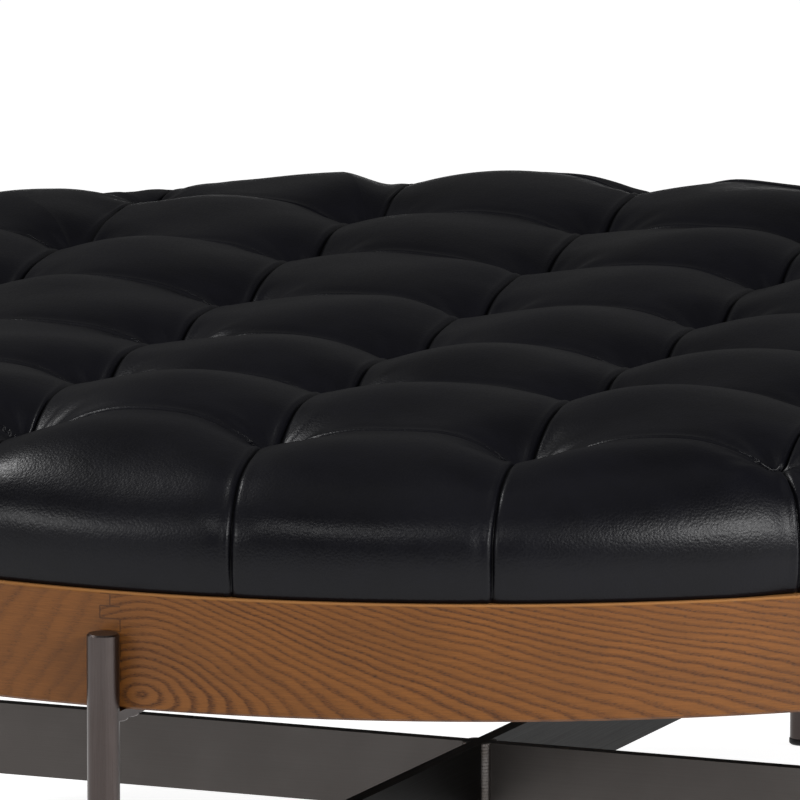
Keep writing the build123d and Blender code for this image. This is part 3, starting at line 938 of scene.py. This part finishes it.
# Dust cover: its slack, its turned hem and its staples
COVER_SAG = 4.0
COVER_HEM = 14.0
COVER_THICKNESS = 0.5
COVER_PUCKER = 0.35
COVER_WAVE_LENGTH = 240.0
COVER_RINGS = 40
COVER_COLUMNS = 240
STAPLE_COUNT = 60
STAPLE_LENGTH = 10.0
STAPLE_WIRE = 0.45
STAPLE_INSET = 8.0

# Centre welds: round beads laid in short steps
WELD_RADIUS = 5.0
WELD_RIPPLE = 0.1
WELD_STEP = 2.1


def build_glides(material):
    """Nylon glides with a lower edge rounded by wear."""
    profile = [(0.72, 0.0), (0.9, 0.08), (1.0, 0.3), (1.0, 0.9), (0.97, 1.0)]
    tubes = [[round_row(polar(angle, ROD_CENTRE), GLIDE_RADIUS * wide, GLIDE_TOP * high)
              for wide, high in profile] for angle in QUARTERS]
    glides = form_object("glides", tubes, material)
    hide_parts("foot_glides")


def build_centre_welds(material):
    """Four upright beads in the corners of the crossed bars, with the ripples of a hand-laid weld."""
    tubes = []
    fan, rises = 10, 84
    for angle in QUARTERS:
        rows = []
        for rise in range(rises + 1):
            height = BRACE_BOTTOM + (BRACE_TOP - BRACE_BOTTOM) * rise / rises
            phase = (height - BRACE_BOTTOM) / WELD_STEP
            reach = WELD_RADIUS - WELD_RIPPLE * (1 + cos(2 * pi * phase + 0.7 * sin(phase)))
            row = [(BRACE_HALF - 1, BRACE_HALF - 1), (BRACE_HALF + reach, BRACE_HALF - 1)]
            for step in range(fan + 1):
                turn = pi / 2 * step / fan
                row.append((BRACE_HALF + reach * cos(turn), BRACE_HALF + reach * sin(turn)))
            row.append((BRACE_HALF - 1, BRACE_HALF + reach))
            rows.append([(x * cos(angle) - y * sin(angle), x * sin(angle) + y * cos(angle), height)
                         for x, y in row])
        tubes.append(rows)
    welds = form_object("centre_weld_beads", tubes, material)
    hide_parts("centre_welds")


def screw_tubes(middle, seat):
    """A washer and a button head under a surface, with a hexagon socket."""
    under = seat - WASHER_THICKNESS
    washer = [(WASHER_RADIUS, seat), (WASHER_RADIUS, seat - WASHER_THICKNESS * 0.8),
              (WASHER_RADIUS - 0.3, under), (SCREW_RADIUS, under)]
    head = [(SCREW_RADIUS, under)]
    flat = SCREW_SOCKET * 1.3
    for step in range(7):
        turn = pi / 2 * step / 6
        head.append((flat + (SCREW_RADIUS - flat) * cos(turn),
                     under - SCREW_HEIGHT * (0.15 + 0.85 * sin(turn))))
    lowest = under - SCREW_HEIGHT
    head += [(SCREW_SOCKET, level, 6) for level in (lowest, lowest + SCREW_HEIGHT * 0.7)]
    return [[round_row(middle, *level) for level in levels] for levels in (washer, head)]


def build_screws(material):
    tubes = []
    for angle in QUARTERS:
        for step in TAB_SCREW_STEPS:
            tubes += screw_tubes(polar(angle, TAB_END + step), TAB_BOTTOM)
    for number in range(BLOCK_COUNT):
        angle = BLOCK_START + number * 2 * pi / BLOCK_COUNT
        tubes += screw_tubes(polar(angle, BLOCK_SCREW_RADIUS), BLOCK_BOTTOM)
    form_object("screws", tubes, material)


def cover_height(radius, angle):
    """Lower face of the slack dust cover: it sags in the middle and puckers between its staples."""
    share = radius / DUST_COVER_RADIUS
    pucker = COVER_PUCKER * np.cos(STAPLE_COUNT * angle) * np.clip((share - 0.8) / 0.2, 0, 1) ** 2
    inward = 1 - share**2
    slack = 0.9 * wave_field(radius * np.cos(angle), radius * np.sin(angle), 17, COVER_WAVE_LENGTH) * inward
    return DUST_COVER_BOTTOM - COVER_SAG * inward - slack * 0.5 - COVER_PUCKER + pucker


def build_dust_cover(cloth):
    """The cloth under the deck, held by staples round its turned hem."""
    angle = np.linspace(0, 2 * pi, COVER_COLUMNS, endpoint=False)
    hem = DUST_COVER_RADIUS - COVER_HEM
    radii = np.concatenate([np.linspace(0, hem, COVER_RINGS)[1:], hem + COVER_HEM * np.linspace(0, 1, 9)[1:]])
    rows = []
    for radius in radii:
        low = cover_height(np.full_like(angle, radius), angle)
        if radius > hem:
            low = low - 0.25 * smooth((radius - hem) / 1.5)
        rows.append(round_points(radius, angle, low))
    upper = [row + np.array([0, 0, COVER_THICKNESS]) for row in rows]
    tube = [row.tolist() for row in rows + upper[::-1]]
    cover = form_object("dust_cloth_cover", [tube], cloth)
    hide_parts("dust_cover")


def build_staples(metal):
    """Staples round the dust cover's hem, each a bent wire."""
    tubes = []
    reach = DUST_COVER_RADIUS - STAPLE_INSET
    for number in range(STAPLE_COUNT):
        turn = 2 * pi * number / STAPLE_COUNT
        middle = np.array(polar(turn, reach))
        level = float(cover_height(np.array(reach), np.array(turn))) - 0.3
        run = np.array([-sin(turn), cos(turn)])
        side = np.array([cos(turn), sin(turn)])
        rows = []
        for along, drop in ((-1, 1.6), (-1, 0.2), (-0.96, 0.0), (0.96, 0.0), (1, 0.2), (1, 1.6)):
            centre = middle + run * along * STAPLE_LENGTH / 2
            rows.append([(*(centre + side * STAPLE_WIRE * cos(spin)), level + drop + STAPLE_WIRE * sin(spin))
                         for spin in np.linspace(0, 2 * pi, 8, endpoint=False)])
        tubes.append(rows)
    form_object("staples", tubes, metal)


for node, name, *figure in (
        ("ring_segment_4", "ring_wood_front", -pi / 2, 1, (21.0, 10.0), (10.0, 6.0), 0.85),
        ("ring_segment_3", "ring_wood_left", -pi / 2, -1, (-60.0, 26.0), (8.0, 40.0), 0.35, 0.6),
        ("ring_segment_1", "ring_wood_right", 0.0, 1, (-40.0, -22.0), (20.0, 6.5), 0.7),
        ("ring_segment_2", "ring_wood_back", pi, -1, (300.0, -18.0), (18.0, 6.0), 0.7)):
    dress(ring_wood_material(name, *figure), node)
dark_steel = metal_material("dark_steel", (0.060, 0.049, 0.046, 1), (0.080, 0.067, 0.064, 1), 0.3,
                            (900, 900, 30)).material
dress(dark_steel, *numbered("leg_rod", 4), *numbered("mounting_tab", 4))
# Painted shade: the through bar's steel gets a far darker colour and a dimmer sheen than the half bars'
# steel, for the shade it sits in.
dress(brace_material("brace_steel_through_shaded", (400, 6, 1500), (0.009, 0.009, 0.0085, 1),
                     (0.015, 0.0145, 0.0145, 1), glancing=0.8), "brace_through_bar")
dress(brace_material("brace_steel_half", (6, 400, 1500), (0.080, 0.072, 0.068, 1), (0.104, 0.095, 0.090, 1)),
      *numbered("brace_half_bar", 2))
welds = weld_material()
dress(dark_steel, "rod_welds")
dress(welds, "centre_welds")
dress(plywood_material(), "deck_panel")
dress(block_wood_material(), *numbered("deck_block", BLOCK_COUNT))
dress(foam_material(), "foam_base")
dress(tape_material(), "pull_tapes")
dust_cloth = dust_cloth_material()
dress(dust_cloth, "dust_cover")
nylon = nylon_material()
dress(nylon, "foot_glides")
dress(cushion.data.materials[0], "leather_cover")
build_glides(nylon)
build_centre_welds(welds)
build_screws(dark_steel)
build_dust_cover(dust_cloth)
build_staples(welds)


# Camera at the photograph's place, from the ring, the rods and the brace
CAMERA_AZIMUTH = radians(22.88)
CAMERA_ELEVATION = radians(9.55)
CAMERA_DISTANCE = 7.53845
CAMERA_LENS = 519.2
AIM_RIGHT = -0.05233
AIM_HEIGHT = 0.33882

# Light: lamps all as far from the table, a floor that looks white, and a plain grey world
LAMP_DISTANCE = 3.0
LAMP_AIM = Vector((0, 0, 0.35))
FLOOR_HALF = 30.0
FLOOR_SEEN = 0.92
WORLD_LIGHT = 0.09

right = Vector((cos(CAMERA_AZIMUTH), sin(CAMERA_AZIMUTH), 0))
back = Vector((sin(CAMERA_AZIMUTH) * cos(CAMERA_ELEVATION), -cos(CAMERA_AZIMUTH) * cos(CAMERA_ELEVATION),
               sin(CAMERA_ELEVATION)))
aim = right * AIM_RIGHT + Vector((0, 0, AIM_HEIGHT))
lens = bpy.data.cameras.new("camera")
lens.lens = CAMERA_LENS
lens.sensor_width = 36.0
lens.clip_end = 100.0
camera = link(bpy.data.objects.new("camera", lens))
camera.location = aim + back * CAMERA_DISTANCE
camera.rotation_euler = (-back).to_track_quat("-Z", "Y").to_euler()
bpy.context.scene.camera = camera


def softbox(name, turn, rise, width, height, power):
    """A rectangular lamp at an angle from the camera's own direction, aimed at the table."""
    heading = CAMERA_AZIMUTH + radians(turn)
    level = Vector((sin(heading), -cos(heading), 0))
    towards = level * cos(radians(rise)) + Vector((0, 0, sin(radians(rise))))
    lamp = bpy.data.lights.new(name, "AREA")
    lamp.shape, lamp.size, lamp.size_y, lamp.energy = "RECTANGLE", width, height, power
    placed = link(bpy.data.objects.new(name, lamp))
    placed.location = LAMP_AIM + towards * LAMP_DISTANCE
    placed.rotation_euler = (-towards).to_track_quat("-Z", "Y").to_euler()


def floor_material():
    """A pale floor that the camera sees as white and that keeps the table's shadow."""
    shader = Shader("floor", Roughness=0.9, Specular_IOR_Level=0.1)
    where = shader.place()
    shader.feed("Base Color", shader.mix(shader.noise(where, 3.0), srgb(200, 200, 200), srgb(204, 204, 204)))
    rays = shader.node("LightPath").outputs
    seen = shader.math("MAXIMUM", rays["Is Camera Ray"], shader.math("MAXIMUM", rays["Is Glossy Ray"],
                                                                    rays["Is Transmission Ray"]))
    shader.feed("Emission Color", (1, 1, 1, 1))
    shader.feed("Emission Strength", shader.times(seen, FLOOR_SEEN))
    return shader.material


def build_floor():
    corners = [(FLOOR_HALF * x, FLOOR_HALF * y, 0) for x, y in ((-1, -1), (1, -1), (1, 1), (-1, 1))]
    mesh = bpy.data.meshes.new("floor")
    mesh.from_pydata(corners, [], [(0, 1, 2, 3)])
    floor = link(bpy.data.objects.new("floor", mesh))
    mesh.materials.append(floor_material())


def build_world():
    """Plain soft surroundings, the same grey for every ray."""
    world = bpy.data.worlds.new("world")
    bpy.context.scene.world = world
    world.use_nodes = True
    background = world.node_tree.nodes["Background"]
    background.inputs["Strength"].default_value = WORLD_LIGHT
    background.inputs["Color"].default_value = (1, 1, 1, 1)


build_floor()
build_world()
softbox("key_right", 36, 20, 1.5, 0.5, 62)
softbox("fill_left", -52, 16, 0.95, 0.35, 20)
softbox("side_right", 76, 8, 1.0, 1.0, 26)
softbox("high_left", -112, 50, 0.8, 0.35, 30)
softbox("front_high", -17, 30, 1.0, 0.3, 10)
softbox("top", -20, 78, 2.4, 2.4, 5)

bpy.context.scene.view_settings.view_transform = "Standard"
